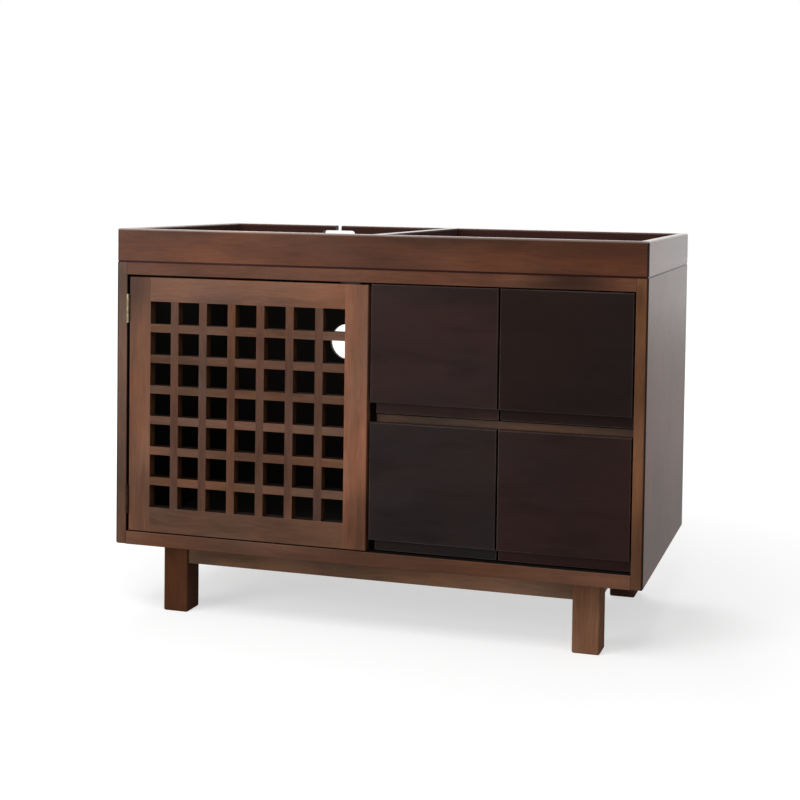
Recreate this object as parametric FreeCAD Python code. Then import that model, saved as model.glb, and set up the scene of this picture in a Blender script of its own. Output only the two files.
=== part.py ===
"""Low lattice-door sideboard with an open tray top, four drawers and a leg-and-apron base.

X runs to the right, Y to the back and Z up, in millimetres. The origin is on the floor, under
the middle of the whole piece, so the front faces -Y.
"""
import FreeCAD, Part
import os

from FreeCAD import Vector

# Case
case_width = 1000.0
case_depth = 515.0
case_height = 532.5
side_thickness = 21.0
floor_thickness = 25.0
top_rail_thickness = 23.5
top_rail_depth = 70.0
dust_board_thickness = 12.0
partition_thickness = 19.0
upright_thickness = 15.0
divider_rail_thickness = 20.0
divider_rail_depth = 40.0
divider_rail_recess = 22.0
back_thickness = 9.0
back_rebate_width = 12.0
housing_depth = 7.0
housing_stop = 12.0
case_corner_round = 3.0
case_arris = 2.5
board_arris = 0.8

# Round hole for pipes in the back panel, from the case's middle and its underside
pipe_hole_radius = 38.0
pipe_hole_offset = -228.0
pipe_hole_height = 344.0

# Tray on top of the case
tray_height = 62.5
tray_thickness = 20.0
tray_rim_round = 4.5
tray_corner_round = 4.0
tray_shadow_height = 2.4
tray_shadow_depth = 1.6
tray_divider_thickness = 22.0
tray_divider_shift = 7.9
tray_housing_depth = 8.0

# Cut-out in the tray's back board: a round-cornered hole under a narrow slot
cutout_offset = -247.0
cutout_width = 75.0
cutout_height = 38.0
cutout_corner = 6.0
slot_width = 13.8
slot_depth = 10.5

# Base
leg_length = 131.5
leg_width = 50.0
leg_side_inset = 79.5
leg_front_setback = 41.0
leg_back_setback = 46.0
leg_round = 4.0
leg_foot_arris = 2.0
apron_height = 38.0
apron_thickness = 20.0
apron_recess = 4.0
apron_tenon_length = 15.0
apron_tenon_thickness = 10.0
apron_tenon_shoulder = 6.0

# Door: an outer frame and a square lattice
door_width = 473.0
door_thickness = 20.0
door_gap = 2.0
door_top_gap = 4.0
door_arris = 1.0
stile_width = 43.3
door_rail_width = 46.8
door_top_rail_width = 44.8
door_tenon_length = 28.0
door_tenon_thickness = 8.0
door_tenon_shoulder = 7.0
lattice_bars = 6
bar_width = 15.4
bar_depth = 18.0
bar_tenon_length = 6.0
bar_tenon_shoulder = 4.0

# Butt hinges on the door's left edge
hinge_length = 53.5
hinge_inset = 32.5
knuckle_radius = 2.8
knuckle_count = 5
knuckle_gap = 0.3
leaf_thickness = 1.4
leaf_depth = 17.0
leaf_swing_clearance = 0.4
leaf_screws = 3
screw_hole_radius = 1.4
screw_head_radius = 2.7
pin_radius = 1.2
pin_clearance = 0.05
pin_forward = 1.8

# Magnetic catch at the top of the door
catch_width = 40.0
catch_depth = 13.0
catch_height = 16.0
catch_offset = 14.0
catch_arris = 1.5
strike_width = 34.0
strike_height = 13.0
strike_thickness = 1.5
strike_drop = 1.0
catch_clearance = 0.4

# Drawers
middle_gap = 5.5
door_overlap = 7.5
door_rest_gap = 0.5
face_gap = 3.0
face_end_gap = 2.5
face_top_gap = 2.0
face_rail_overlap = 8.0
face_thickness = 15.0
face_arris = 1.2
grip_height = 20.5
front_thickness = 12.0
front_gap = 4.0
front_end_gap = 1.5
front_clearance = 2.5
front_rest_gap = 0.5
box_side_thickness = 13.0
box_side_drop = 56.5
box_side_rise = 6.0
box_side_gap = 2.0
box_behind_gap = 49.0
box_back_thickness = 12.0
box_back_inset = 10.0
box_bottom_thickness = 6.0
box_bottom_rise = 10.0
box_housing_depth = 5.0
box_arris = 1.2

# Hardwood runners and the grooves that ride on them
groove_depth = 6.0
groove_height = 13.0
groove_stop = 15.0
runner_clearance = 0.3
runner_start_gap = 3.0
runner_back_gap = 6.0

# Overrun of cutting solids, and how near an edge has to lie to a plane to count as in it
overrun = 1.0
touch = 0.01

# Main planes of the case
hinge_proud = pin_forward + knuckle_radius
front_y = (hinge_proud - case_depth) / 2
back_y = front_y + case_depth
middle_y = (front_y + back_y) / 2
back_panel_y = back_y - back_thickness
left_x = -case_width / 2
right_x = case_width / 2
inner_left_x = left_x + side_thickness
inner_right_x = right_x - side_thickness
case_low_z = leg_length
case_high_z = case_low_z + case_height
floor_top_z = case_low_z + floor_thickness
rail_low_z = case_high_z - top_rail_thickness
dust_low_z = case_high_z - dust_board_thickness
tray_low_z = case_high_z
tray_high_z = tray_low_z + tray_height

# Places of the door, the partition and the drawer columns
door_left_x = inner_left_x + knuckle_radius * 2
door_right_x = door_left_x + door_width
door_back_y = front_y + door_thickness
door_low_z = floor_top_z + door_gap
door_high_z = rail_low_z - door_top_gap
partition_left_x = door_right_x - door_overlap
partition_right_x = partition_left_x + partition_thickness
partition_front_y = door_back_y + door_rest_gap
faces_left_x = door_right_x + middle_gap
faces_right_x = inner_right_x - face_end_gap
face_width = (faces_right_x - faces_left_x - face_gap) / 2
faces_middle_x = (faces_left_x + faces_right_x) / 2
upright_middle_x = (partition_right_x + inner_right_x) / 2
upright_left_x = upright_middle_x - upright_thickness / 2
upright_right_x = upright_middle_x + upright_thickness / 2
front_board_y = front_y + face_thickness
box_front_y = front_board_y + front_thickness
upright_front_y = box_front_y + front_rest_gap
box_back_y = back_panel_y - box_behind_gap
face_rise = front_clearance + grip_height
face_room = rail_low_z - floor_top_z - divider_rail_thickness - face_rise * 2
face_height = (face_room + face_rail_overlap - face_top_gap) / 2
divider_low_z = floor_top_z + face_rise + face_height - face_rail_overlap
divider_high_z = divider_low_z + divider_rail_thickness


def block(low, high):
    """Square-edged board between two opposite corners."""
    size = high - low
    return Part.makeBox(size.x, size.y, size.z, low)


def prism(outline, travel):
    """Solid of a closed outline that is drawn out along a straight line."""
    wire = Part.makePolygon(outline + outline[:1])
    return Part.Face(wire).extrude(travel)


def tenoned(low, high, reach):
    """Bar with a tenon at each end. The reach is positive along the bar and negative at its shoulders."""
    bar = block(low, high).fuse(block(low - reach, high + reach))
    return bar.removeSplitter().Solids[0]


def seated(blank, guests):
    """The blank with a housing cut for each piece that is let into it."""
    return blank.cut(guests).removeSplitter().Solids[0]


def lies_in(edge, x=None, y=None, z=None):
    """True where an edge lies wholly in each of the planes that are given."""
    box = edge.BoundBox
    spans = [(x, box.XMin, box.XMax), (y, box.YMin, box.YMax), (z, box.ZMin, box.ZMax)]
    return all(
        abs(low - place) < touch and abs(high - place) < touch
        for place, low, high in spans
        if place is not None
    )


def eased(solid, size, places):
    """The solid with the arris taken off each edge that lies in one of the places."""
    edges = [edge for edge in solid.Edges if any(lies_in(edge, **place) for place in places)]
    return solid.makeChamfer(size, edges)


def rounded(solid, radius, places):
    """The solid with each edge that lies in one of the places rounded over."""
    edges = [edge for edge in solid.Edges if any(lies_in(edge, **place) for place in places)]
    return solid.makeFillet(radius, edges)


def let_in_board(low_y, high_y, low_z, thickness):
    """Level board across the case. Its ends are let into the sides behind a plain front edge."""
    stop_y = low_y + housing_stop
    plan = [
        Vector(inner_left_x, low_y, low_z),
        Vector(inner_right_x, low_y, low_z),
        Vector(inner_right_x, stop_y, low_z),
        Vector(inner_right_x + housing_depth, stop_y, low_z),
        Vector(inner_right_x + housing_depth, high_y, low_z),
        Vector(inner_left_x - housing_depth, high_y, low_z),
        Vector(inner_left_x - housing_depth, stop_y, low_z),
        Vector(inner_left_x, stop_y, low_z),
    ]
    return prism(plan, Vector(0, 0, thickness))


def side_panel(hand, guests):
    """End of the case, rebated behind for the back panel. The hand is -1 at the left and 1 at the right."""
    outer_x = hand * case_width / 2
    inner_x = outer_x - hand * side_thickness
    rebate_x = inner_x + hand * back_rebate_width
    plan = [
        Vector(outer_x, front_y, case_low_z),
        Vector(inner_x, front_y, case_low_z),
        Vector(inner_x, back_panel_y, case_low_z),
        Vector(rebate_x, back_panel_y, case_low_z),
        Vector(rebate_x, back_y, case_low_z),
        Vector(outer_x, back_y, case_low_z),
    ]
    panel = rounded(prism(plan, Vector(0, 0, case_height)), case_corner_round, [{"x": outer_x, "y": front_y}])
    panel = eased(panel, case_arris, [{"x": outer_x, "y": back_y}, {"x": outer_x, "z": case_low_z}])
    panel = eased(panel, board_arris, [{"x": inner_x, "y": front_y}])
    return seated(panel, guests)


def back_panel():
    """Thin panel in the rebates of the sides, with the round hole for the pipes."""
    panel = block(
        Vector(inner_left_x - back_rebate_width, back_panel_y, case_low_z),
        Vector(inner_right_x + back_rebate_width, back_y, case_high_z),
    )
    hole = Part.makeCylinder(
        pipe_hole_radius,
        back_thickness + overrun * 2,
        Vector(pipe_hole_offset, back_panel_y - overrun, case_low_z + pipe_hole_height),
        Vector(0, 1, 0),
    )
    return panel.cut(hole)


def case_parts():
    """Boards of the case, each cut to seat the ones that are let into it."""
    top_front_rail = let_in_board(front_y, front_y + top_rail_depth, rail_low_z, top_rail_thickness)
    top_back_rail = let_in_board(back_panel_y - top_rail_depth, back_panel_y, rail_low_z, top_rail_thickness)
    divider_front_y = front_y + divider_rail_recess
    divider_rail = block(
        Vector(partition_right_x - housing_depth, divider_front_y, divider_low_z),
        Vector(inner_right_x + housing_depth, divider_front_y + divider_rail_depth, divider_high_z),
    )
    rails = [top_front_rail, top_back_rail, divider_rail]
    partition = block(
        Vector(partition_left_x, partition_front_y, floor_top_z - housing_depth),
        Vector(partition_right_x, back_panel_y, dust_low_z),
    )
    upright = block(
        Vector(upright_left_x, upright_front_y, floor_top_z - housing_depth),
        Vector(upright_right_x, back_panel_y, dust_low_z),
    )
    bottom_board = let_in_board(front_y, back_panel_y, case_low_z, floor_thickness)
    dust_board = block(
        Vector(partition_left_x, front_y + top_rail_depth, dust_low_z),
        Vector(inner_right_x, back_panel_y - top_rail_depth, case_high_z),
    )
    divider_edges = [{"y": divider_front_y, "z": z} for z in (divider_low_z, divider_high_z)]
    return {
        "left_side_panel": side_panel(-1, rails + [bottom_board]),
        "right_side_panel": side_panel(1, rails + [bottom_board]),
        "bottom_board": seated(eased(bottom_board, board_arris, [{"y": front_y}]), [partition, upright]),
        "centre_partition": seated(partition, rails),
        "drawer_upright": seated(upright, rails),
        "drawer_divider_rail": eased(divider_rail, board_arris, divider_edges),
        "top_front_rail": eased(top_front_rail, board_arris, [{"y": front_y, "z": rail_low_z}]),
        "top_back_rail": top_back_rail,
        "dust_board": dust_board,
        "back_panel": back_panel(),
    }


def tray_board(length, turn, place):
    """Board of the tray frame: one moulded section with a round rim and a shadow line, mitred at its ends.

    The frame's own corners are rounded off after the boards are joined.
    """
    half = length / 2
    section = [
        Vector(-half, tray_shadow_depth, tray_low_z),
        Vector(-half, tray_thickness, tray_low_z),
        Vector(-half, tray_thickness, tray_high_z),
        Vector(-half, 0, tray_high_z),
        Vector(-half, 0, tray_low_z + tray_shadow_height),
        Vector(-half, tray_shadow_depth, tray_low_z + tray_shadow_height),
    ]
    mitre_plan = [
        Vector(-half, 0, tray_low_z),
        Vector(half, 0, tray_low_z),
        Vector(half - tray_thickness, tray_thickness, tray_low_z),
        Vector(tray_thickness - half, tray_thickness, tray_low_z),
    ]
    bar = prism(section, Vector(length, 0, 0))
    board = bar.common(prism(mitre_plan, Vector(0, 0, tray_height))).Solids[0]
    rim_edges = [{"y": y, "z": tray_high_z} for y in (0, tray_thickness)]
    board = rounded(board, tray_rim_round, rim_edges)
    board.rotate(Vector(0, 0, 0), Vector(0, 0, 1), turn)
    board.translate(place)
    frame_block = block(Vector(left_x, front_y, tray_low_z), Vector(right_x, back_y, tray_high_z))
    corners = [{"x": x, "y": y} for x in (left_x, right_x) for y in (front_y, back_y)]
    return board.common(rounded(frame_block, tray_corner_round, corners)).Solids[0]


def pipe_cutout():
    """Round-cornered hole and the slot that lets a hose drop into it from the rim."""
    hole_top_z = tray_high_z - slot_depth
    cut_front_y = back_y - tray_thickness - overrun
    hole = block(
        Vector(cutout_offset - cutout_width / 2, cut_front_y, hole_top_z - cutout_height),
        Vector(cutout_offset + cutout_width / 2, back_y + overrun, hole_top_z),
    )
    corners = [edge for edge in hole.Edges if edge.BoundBox.YLength > tray_thickness]
    slot = block(
        Vector(cutout_offset - slot_width / 2, cut_front_y, hole_top_z - overrun),
        Vector(cutout_offset + slot_width / 2, back_y + overrun, tray_high_z + overrun),
    )
    return hole.makeFillet(cutout_corner, corners).fuse(slot)


def tray_parts():
    """Mitred tray frame and the divider that is housed between its front and back boards."""
    divider_left_x = partition_left_x + tray_divider_shift
    divider = block(
        Vector(divider_left_x, front_y + tray_thickness - tray_housing_depth, tray_low_z),
        Vector(
            divider_left_x + tray_divider_thickness,
            back_y - tray_thickness + tray_housing_depth,
            tray_high_z,
        ),
    )
    front = tray_board(case_width, 0, Vector(0, front_y, 0))
    right = tray_board(case_depth, 90, Vector(right_x, middle_y, 0))
    back = tray_board(case_width, 180, Vector(0, back_y, 0))
    left = tray_board(case_depth, 270, Vector(left_x, middle_y, 0))
    return {
        "tray_front_board": seated(front, [divider]),
        "tray_right_board": right,
        "tray_back_board": seated(back, [divider, pipe_cutout()]),
        "tray_left_board": left,
        "tray_divider": divider,
    }


def leg(low_x, low_y, guests):
    """Square leg with rounded corners and an eased foot, mortised for its two aprons."""
    high_x = low_x + leg_width
    high_y = low_y + leg_width
    post = block(Vector(low_x, low_y, 0), Vector(high_x, high_y, leg_length))
    corners = [{"x": x, "y": y} for x in (low_x, high_x) for y in (low_y, high_y)]
    post = rounded(post, leg_round, corners)
    return seated(eased(post, leg_foot_arris, [{"z": 0}]), guests)


def base_parts():
    """Four legs set in from the case, joined by recessed aprons on stub tenons."""
    left_leg_x = left_x + leg_side_inset
    right_leg_x = right_x - leg_side_inset - leg_width
    front_leg_y = front_y + leg_front_setback
    back_leg_y = back_y - leg_back_setback - leg_width
    apron_low_z = leg_length - apron_height
    cheek = (apron_thickness - apron_tenon_thickness) / 2
    lengthwise = Vector(apron_tenon_length, -cheek, -apron_tenon_shoulder)
    crosswise = Vector(-cheek, apron_tenon_length, -apron_tenon_shoulder)
    aprons = {}
    for name, face_y in (
        ("front", front_leg_y + apron_recess),
        ("back", back_leg_y + leg_width - apron_recess - apron_thickness),
    ):
        aprons[f"{name}_apron"] = tenoned(
            Vector(left_leg_x + leg_width, face_y, apron_low_z),
            Vector(right_leg_x, face_y + apron_thickness, leg_length),
            lengthwise,
        )
    for name, face_x in (
        ("left", left_leg_x + apron_recess),
        ("right", right_leg_x + leg_width - apron_recess - apron_thickness),
    ):
        aprons[f"{name}_apron"] = tenoned(
            Vector(face_x, front_leg_y + leg_width, apron_low_z),
            Vector(face_x + apron_thickness, back_leg_y, leg_length),
            crosswise,
        )
    guests = list(aprons.values())
    legs = {
        f"{row}_{side}_leg": leg(low_x, low_y, guests)
        for row, low_y in (("front", front_leg_y), ("back", back_leg_y))
        for side, low_x in (("left", left_leg_x), ("right", right_leg_x))
    }
    return {**legs, **aprons}


def lattice_starts(low, high):
    """Where each lattice bar starts, so that the holes between them are equal."""
    hole = (high - low - lattice_bars * bar_width) / (lattice_bars + 1)
    return [low + hole + count * (hole + bar_width) for count in range(lattice_bars)]


def lattice_bar_sets(left, right, low, high):
    """Upright and cross bars, halved into each other so that both lie flush at the front."""
    bar_back_y = front_y + bar_depth
    halving_y = front_y + bar_depth / 2
    starts_x = lattice_starts(left, right)
    starts_z = lattice_starts(low, high)
    upright_reach = Vector(-bar_tenon_shoulder, -bar_tenon_shoulder, bar_tenon_length)
    cross_reach = Vector(bar_tenon_length, -bar_tenon_shoulder, -bar_tenon_shoulder)
    uprights = [
        tenoned(Vector(x, front_y, low), Vector(x + bar_width, bar_back_y, high), upright_reach)
        for x in starts_x
    ]
    crosses = [
        tenoned(Vector(left, front_y, z), Vector(right, bar_back_y, z + bar_width), cross_reach)
        for z in starts_z
    ]
    front_halves = [
        block(Vector(x, front_y, z), Vector(x + bar_width, halving_y, z + bar_width))
        for x in starts_x
        for z in starts_z
    ]
    back_halves = [
        block(Vector(x, halving_y, z), Vector(x + bar_width, bar_back_y, z + bar_width))
        for x in starts_x
        for z in starts_z
    ]
    uprights = [seated(bar, back_halves) for bar in uprights]
    crosses = [seated(bar, front_halves) for bar in crosses]
    return uprights, crosses


def door_parts():
    """Door frame on mortise and tenon joints, with the lattice tenoned into its inner edges."""
    field_left = door_left_x + stile_width
    field_right = door_right_x - stile_width
    field_low = door_low_z + door_rail_width
    field_high = door_high_z - door_top_rail_width
    uprights, crosses = lattice_bar_sets(field_left, field_right, field_low, field_high)
    cheek = (door_thickness - door_tenon_thickness) / 2
    rail_reach = Vector(door_tenon_length, -cheek, -door_tenon_shoulder)
    bottom_rail = tenoned(
        Vector(field_left, front_y, door_low_z),
        Vector(field_right, door_back_y, field_low),
        rail_reach,
    )
    top_rail = tenoned(
        Vector(field_left, front_y, field_high),
        Vector(field_right, door_back_y, door_high_z),
        rail_reach,
    )
    left_stile = block(Vector(door_left_x, front_y, door_low_z), Vector(field_left, door_back_y, door_high_z))
    right_stile = block(
        Vector(field_right, front_y, door_low_z),
        Vector(door_right_x, door_back_y, door_high_z),
    )
    stile_guests = [bottom_rail, top_rail] + crosses
    level_edges = [{"y": front_y, "z": z} for z in (door_low_z, door_high_z)]
    left_edges = level_edges + [{"x": door_left_x, "y": front_y}]
    right_edges = level_edges + [{"x": door_right_x, "y": y} for y in (front_y, door_back_y)]
    return {
        "door_left_stile": seated(eased(left_stile, door_arris, left_edges), stile_guests),
        "door_right_stile": seated(eased(right_stile, door_arris, right_edges), stile_guests),
        "door_bottom_rail": seated(eased(bottom_rail, door_arris, level_edges), uprights),
        "door_top_rail": seated(eased(top_rail, door_arris, level_edges), uprights),
        "lattice_upright_bars": Part.makeCompound(uprights),
        "lattice_cross_bars": Part.makeCompound(crosses),
    }


def hinge_leaf(face_x, hand, low_z, own_knuckles):
    """Flat leaf on a wooden face, with its knuckles and countersinks. The hand points from face to pin."""
    pin_x = inner_left_x + knuckle_radius
    pin_y = front_y - pin_forward
    plate_x = sorted([face_x, face_x + hand * leaf_thickness])
    plate_y = pin_y + knuckle_radius + leaf_swing_clearance
    leaf_back_y = pin_y + leaf_depth
    leaf = block(
        Vector(plate_x[0], plate_y, low_z),
        Vector(plate_x[1], leaf_back_y, low_z + hinge_length),
    )
    knuckle_pitch = hinge_length / knuckle_count
    for place in own_knuckles:
        knuckle_low_z = low_z + place * knuckle_pitch + knuckle_gap / 2
        knuckle_length = knuckle_pitch - knuckle_gap
        tab = block(
            Vector(plate_x[0], pin_y, knuckle_low_z),
            Vector(plate_x[1], plate_y, knuckle_low_z + knuckle_length),
        )
        barrel = Part.makeCylinder(knuckle_radius, knuckle_length, Vector(pin_x, pin_y, knuckle_low_z))
        leaf = leaf.fuse([tab, barrel])
    bore = Part.makeCylinder(
        pin_radius + pin_clearance,
        hinge_length + overrun * 2,
        Vector(pin_x, pin_y, low_z - overrun),
    )
    screw_y = (plate_y + leaf_back_y) / 2
    screw_pitch = hinge_length / leaf_screws
    countersinks = [
        Part.makeCone(
            screw_hole_radius,
            screw_head_radius,
            leaf_thickness,
            Vector(face_x, screw_y, low_z + screw_pitch * (count + 0.5)),
            Vector(hand, 0, 0),
        )
        for count in range(leaf_screws)
    ]
    return leaf.cut([bore] + countersinks).removeSplitter().Solids[0]


def hinge_parts():
    """Two butt hinges: the case leaf carries the odd knuckles and the pin, and the door leaf the others."""
    parts = {}
    for name, low_z in (
        ("upper", door_high_z - hinge_inset - hinge_length),
        ("lower", door_low_z + hinge_inset),
    ):
        parts[f"{name}_hinge_case_leaf"] = hinge_leaf(inner_left_x, 1, low_z, range(0, knuckle_count, 2))
        parts[f"{name}_hinge_door_leaf"] = hinge_leaf(door_left_x, -1, low_z, range(1, knuckle_count, 2))
        parts[f"{name}_hinge_pin"] = Part.makeCylinder(
            pin_radius,
            hinge_length,
            Vector(inner_left_x + knuckle_radius, front_y - pin_forward, low_z),
        )
    return parts


def catch_parts():
    """Magnetic catch under the top rail and the steel strike on the back of the door."""
    catch_right_x = partition_left_x - catch_offset
    catch_left_x = catch_right_x - catch_width
    catch_front_y = door_back_y + strike_thickness + catch_clearance
    catch = block(
        Vector(catch_left_x, catch_front_y, rail_low_z - catch_height),
        Vector(catch_right_x, catch_front_y + catch_depth, rail_low_z),
    )
    front_edges = [{"y": catch_front_y, "x": catch_left_x}, {"y": catch_front_y, "x": catch_right_x}]
    strike_left_x = (catch_left_x + catch_right_x - strike_width) / 2
    strike_high_z = door_high_z - strike_drop
    strike = block(
        Vector(strike_left_x, door_back_y, strike_high_z - strike_height),
        Vector(strike_left_x + strike_width, door_back_y + strike_thickness, strike_high_z),
    )
    return {"magnetic_catch": eased(catch, catch_arris, front_edges), "catch_strike": strike}


def side_span(cell_low_z):
    """Lower and upper edge of a drawer's sides."""
    face_high_z = cell_low_z + face_rise + face_height
    return cell_low_z + front_clearance + box_side_rise, face_high_z - box_side_drop


def groove_span(cell_low_z):
    """Lower and upper edge of the groove in a drawer side, half-way up that side."""
    side_low_z, side_high_z = side_span(cell_low_z)
    low_z = (side_low_z + side_high_z - groove_height) / 2
    return low_z, low_z + groove_height


def drawer_parts(name, face_x, cell_x, front_x, cell_low_z, front_high_z):
    """One drawer: a dark face on a box whose front hangs lower and leaves room for the fingers."""
    front_low_z = cell_low_z + front_clearance
    face_low_z = cell_low_z + face_rise
    face = block(
        Vector(face_x, front_y, face_low_z),
        Vector(face_x + face_width, front_board_y, face_low_z + face_height),
    )
    outer_left_x = cell_x[0] + box_side_gap
    outer_right_x = cell_x[1] - box_side_gap
    inside_left_x = outer_left_x + box_side_thickness
    inside_right_x = outer_right_x - box_side_thickness
    side_low_z, side_high_z = side_span(cell_low_z)
    bottom_low_z = side_low_z + box_bottom_rise
    bottom_high_z = bottom_low_z + box_bottom_thickness
    bottom = block(
        Vector(inside_left_x - box_housing_depth, box_front_y - box_housing_depth, bottom_low_z),
        Vector(inside_right_x + box_housing_depth, box_back_y, bottom_high_z),
    )
    back_board_y = box_back_y - box_back_inset
    back = block(
        Vector(inside_left_x - box_housing_depth, back_board_y - box_back_thickness, bottom_high_z),
        Vector(inside_right_x + box_housing_depth, back_board_y, side_high_z - box_side_rise),
    )
    groove_low_z, groove_high_z = groove_span(cell_low_z)
    grooves = [
        block(
            Vector(low_x, box_front_y + groove_stop, groove_low_z),
            Vector(low_x + groove_depth + overrun, box_back_y + overrun, groove_high_z),
        )
        for low_x in (outer_left_x - overrun, outer_right_x - groove_depth)
    ]
    sides = []
    for low_x in (outer_left_x, inside_right_x):
        high_x = low_x + box_side_thickness
        side = block(Vector(low_x, box_front_y, side_low_z), Vector(high_x, box_back_y, side_high_z))
        top_edges = [{"x": low_x, "z": side_high_z}, {"x": high_x, "z": side_high_z}]
        sides.append(seated(eased(side, box_arris, top_edges), [bottom, back] + grooves))
    front = block(
        Vector(front_x[0], front_board_y, front_low_z),
        Vector(front_x[1], box_front_y, front_high_z),
    )
    return {
        f"{name}_face": eased(face, face_arris, [{"y": front_y}]),
        f"{name}_front": seated(front, [bottom]),
        f"{name}_sides": Part.makeCompound(sides),
        f"{name}_back": back,
        f"{name}_bottom": bottom,
    }


def runner_pair(cell_x, cell_low_z):
    """Hardwood strips on both walls of one drawer's space, which its grooves ride on."""
    groove_low_z, groove_high_z = groove_span(cell_low_z)
    reach = box_side_gap + groove_depth - runner_clearance
    start_y = box_front_y + groove_stop + runner_start_gap
    return [
        block(
            Vector(low_x, start_y, groove_low_z + runner_clearance),
            Vector(low_x + reach, back_panel_y - runner_back_gap, groove_high_z - runner_clearance),
        )
        for low_x in (cell_x[0], cell_x[1] - reach)
    ]


def all_drawers():
    """Two columns of two drawers, and the runners of all four."""
    columns = {
        "left": {
            "face_x": faces_left_x,
            "cell_x": (partition_right_x, upright_left_x),
            "front_x": (partition_right_x + front_end_gap, faces_middle_x - front_gap / 2),
        },
        "right": {
            "face_x": faces_middle_x + face_gap / 2,
            "cell_x": (upright_right_x, inner_right_x),
            "front_x": (faces_middle_x + front_gap / 2, inner_right_x - face_end_gap),
        },
    }
    rows = {
        "lower": (floor_top_z, divider_low_z - front_clearance),
        "upper": (divider_high_z, rail_low_z - front_clearance),
    }
    parts = {}
    runners = []
    for column, places in columns.items():
        for row, (cell_low_z, front_high_z) in rows.items():
            name = f"{row}_{column}_drawer"
            parts.update(
                drawer_parts(
                    name,
                    places["face_x"],
                    places["cell_x"],
                    places["front_x"],
                    cell_low_z,
                    front_high_z,
                )
            )
            runners += runner_pair(places["cell_x"], cell_low_z)
    parts["drawer_runners"] = Part.makeCompound(runners)
    return parts


def main():
    """Build every piece and write each to its own file."""
    os.makedirs("parts", exist_ok=True)
    groups = [case_parts(), tray_parts(), base_parts(), door_parts()]
    groups += [hinge_parts(), catch_parts(), all_drawers()]
    for group in groups:
        for name, shape in group.items():
            shape.exportStep(f"parts/{name}.step")


main()
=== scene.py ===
import bmesh
import bpy
import math
from mathutils import Matrix, Vector


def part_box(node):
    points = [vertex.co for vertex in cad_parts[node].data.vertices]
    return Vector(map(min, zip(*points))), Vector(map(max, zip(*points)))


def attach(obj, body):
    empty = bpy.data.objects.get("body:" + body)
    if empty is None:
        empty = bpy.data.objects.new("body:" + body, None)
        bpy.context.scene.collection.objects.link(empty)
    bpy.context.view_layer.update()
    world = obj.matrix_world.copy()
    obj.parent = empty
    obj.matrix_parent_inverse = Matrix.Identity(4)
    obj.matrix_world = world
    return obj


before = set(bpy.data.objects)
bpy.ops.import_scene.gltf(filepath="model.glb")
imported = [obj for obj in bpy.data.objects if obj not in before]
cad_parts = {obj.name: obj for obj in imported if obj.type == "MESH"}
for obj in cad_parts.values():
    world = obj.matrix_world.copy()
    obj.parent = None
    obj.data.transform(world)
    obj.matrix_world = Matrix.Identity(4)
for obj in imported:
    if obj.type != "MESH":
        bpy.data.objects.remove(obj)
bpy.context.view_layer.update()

# Viewpoint. The camera stands right of the middle, a little above the rim of the tray, and is
# turned back towards the left. The picture is cut from a wider one, so the lens is also shifted.
picture_px = 800
lens_length_px = 1452.0
lens_centre_px = (456.1, 244.5)
camera_place = Vector((0.868, -2.6902, 0.8125))
camera_turn_deg = 16.19
camera_tilt_deg = -2.25
camera_roll_deg = 0.87
sensor_mm = 36.0

lens = bpy.data.cameras.new("camera")
lens.sensor_width = sensor_mm
lens.lens = lens_length_px * sensor_mm / picture_px
lens.shift_x = (picture_px / 2 - lens_centre_px[0]) / picture_px
lens.shift_y = (lens_centre_px[1] - picture_px / 2) / picture_px
camera = bpy.data.objects.new("camera", lens)
turn = Matrix.Rotation(math.radians(camera_turn_deg), 4, "Z")
tilt = Matrix.Rotation(math.radians(90 + camera_tilt_deg), 4, "X")
roll = Matrix.Rotation(math.radians(camera_roll_deg), 4, "Z")
camera.matrix_world = Matrix.Translation(camera_place) @ turn @ tilt @ roll
bpy.context.scene.collection.objects.link(camera)
bpy.context.scene.camera = camera
bpy.context.scene.view_settings.view_transform = "Standard"


# Studio. A white room seen directly or in a gloss, which lights the wood less than it shows. A
# wide soft window stands low at the front left, a soft lamp hangs over the front, so the light
# fades downwards, and a third hangs high behind at the left for the back of the piece.
room_white = (1.0, 1.0, 1.0, 1.0)
room_shows = 1.0
room_light = 0.27
window_power = 48.0
window_size = (1.6, 1.8)
window_place = Vector((-1.9, -2.6, 1.0))
window_target = Vector((0.0, -0.25, 0.35))
ceiling_power = 20.0
ceiling_size = (1.6, 0.9)
ceiling_place = Vector((0.1, -1.35, 1.95))
ceiling_target = Vector((0.1, -0.25, 0.45))
rear_power = 34.0
rear_size = (1.6, 0.9)
rear_place = Vector((-0.9, 2.2, 2.4))
rear_target = Vector((0.0, 0.25, 0.4))


def add_node(tree, kind, sockets=None, **settings):
    """Shader node with its settings made and its sockets wired to others or given values."""
    added = tree.nodes.new("ShaderNode" + kind)
    for setting, value in settings.items():
        setattr(added, setting, value)
    for socket, value in (sockets or {}).items():
        if isinstance(value, bpy.types.NodeSocket):
            tree.links.new(value, added.inputs[socket])
        else:
            added.inputs[socket].default_value = value
    return added


def reckon(tree, operation, first, second=0.0):
    """Sum, product or other plain reckoning of two values."""
    return add_node(tree, "Math", {0: first, 1: second}, operation=operation).outputs[0]


def spread(tree, value, low, high, to_low=0.0, to_high=1.0, way="LINEAR"):
    """The value carried from one span to another, and held at its ends."""
    ends = {"From Min": low, "From Max": high, "To Min": to_low, "To Max": to_high}
    sockets = {"Value": value, **ends}
    return add_node(tree, "MapRange", sockets, interpolation_type=way).outputs[0]


def seen_and_mirrored(tree):
    """Two masks: rays that show a surface directly, and rays that show it in gloss or glass."""
    path = add_node(tree, "LightPath").outputs
    mirrored = reckon(tree, "MAXIMUM", path["Is Glossy Ray"], path["Is Transmission Ray"])
    return path["Is Camera Ray"], mirrored


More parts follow.
